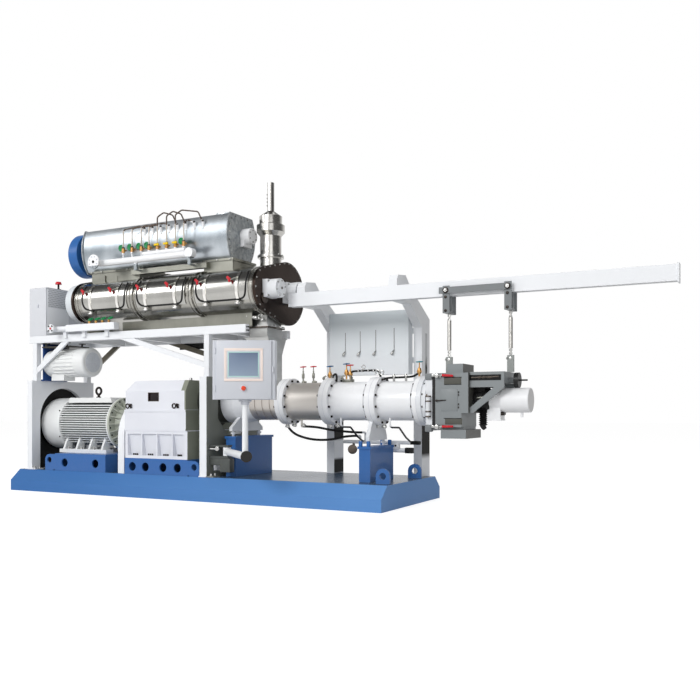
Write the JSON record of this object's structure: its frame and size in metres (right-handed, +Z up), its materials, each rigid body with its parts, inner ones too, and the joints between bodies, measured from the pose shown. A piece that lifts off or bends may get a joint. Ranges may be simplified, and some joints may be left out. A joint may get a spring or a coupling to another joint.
{
  "type": "screw extruder",
  "caption": "Large screw extruder on a skid with motor, gearbox, two-stage steam conditioner, barrel, swinging operator panel and a knife unit on an overhead beam.",
  "frame": {"origin": "centre of the skid's underside, on the floor", "axes": "+X from the drive end to the die and along the trolley beam, +Y to the machine's rear, +Z up"},
  "size_m": [7.564, 2.1896, 3.558],
  "materials": {
    "blue_paint": "satin",
    "white_paint": "satin",
    "motor_blue": "satin",
    "cast_white": "satin",
    "stainless": "polished",
    "galvanised": "satin",
    "dark_plate": "satin",
    "grey_paint": "satin",
    "black_rubber": "matt"
  },
  "bodies": {
    "machine": {"arm_bracket": "dark_plate", "back_panel": "grey_paint", "barrel_saddles": "cast_white", "barrel_section_1": "cast_white", "barrel_section_2": "cast_white", "barrel_section_3": "cast_white", "base_skid": "blue_paint", "beam_arms": "white_paint", "belt_guard": "blue_paint", "conditioner_motor": "white_paint", "conditioner_reducer": "grey_paint", "conditioner_shell": "stainless", "cooling_hose_1": "black_rubber", "cooling_hose_2": "black_rubber", "coupling_guard": "white_paint", "die_head": "cast_white", "discharge_chute": "galvanised", "door_hinges": "stainless", "drive_bracket": "blue_paint", "drive_guard": "white_paint", "drum_end_plates": "galvanised", "drum_shell": "galvanised", "feed_barrel": "cast_white", "feed_hopper": "white_paint", "frame_beams": "white_paint", "frame_braces": "white_paint", "frame_crossbars": "white_paint", "frame_posts": "white_paint", "gearbox_lower_case": "cast_white", "gearbox_plinth": "blue_paint", "gearbox_upper_case": "cast_white", "left_pedestal": "blue_paint", "left_portal": "white_paint", "lifting_lugs": "blue_paint", "lower_steam_header": "white_paint", "main_motor": "motor_blue", "motor_plinth": "blue_paint", "rear_posts": "white_paint", "right_pedestal": "blue_paint", "right_portal": "white_paint", "shaft_bearings": "grey_paint", "shaft_coupling": "dark_plate", "shell_end_plates": "dark_plate", "shell_rings": "stainless", "shell_saddles": "grey_paint", "slide_gate": "white_paint", "thrust_housing": "cast_white", "transfer_chutes": "galvanised", "trolley_beam": "white_paint", "upper_steam_header": "white_paint", "vent_stack": "galvanised"},
    "knife_unit": {"hanger_rods": "grey_paint", "knife_housing": "grey_paint", "knife_motor": "grey_paint", "knife_trolley": "grey_paint"},
    "panel_arm": {"panel_arm": "white_paint"},
    "operator_panel": {"operator_panel": "white_paint"},
    "door_1": {"conditioner_door_1": "stainless"},
    "door_2": {"conditioner_door_2": "stainless"},
    "door_3": {"conditioner_door_3": "stainless"}
  },
  "joints": [
    {"name": "knife_travel", "type": "slide", "parent": "machine", "child": "knife_unit", "axis": [1, 0, 0], "range_m": [0, 1.3]},
    {"name": "arm_swing", "type": "hinge", "parent": "machine", "child": "panel_arm", "pos_m": [0.561, -0.539, 0.528], "axis": [0, 0, 1], "range_deg": [-35, 20]},
    {"name": "panel_turn", "type": "hinge", "parent": "panel_arm", "child": "operator_panel", "pos_m": [1.25791, -1.21082, 1.075], "axis": [0, 0, 1], "range_deg": [-60, 60]},
    {"name": "door_1_hinge", "type": "hinge", "parent": "machine", "child": "door_1", "pos_m": [-1.18, -0.55724, 2.12071], "axis": [1, 0, 0], "range_deg": [0, 80]},
    {"name": "door_2_hinge", "type": "hinge", "parent": "machine", "child": "door_2", "pos_m": [-0.339, -0.55724, 2.12071], "axis": [1, 0, 0], "range_deg": [0, 80]},
    {"name": "door_3_hinge", "type": "hinge", "parent": "machine", "child": "door_3", "pos_m": [0.502, -0.55724, 2.12071], "axis": [1, 0, 0], "range_deg": [0, 80]}
  ]
}
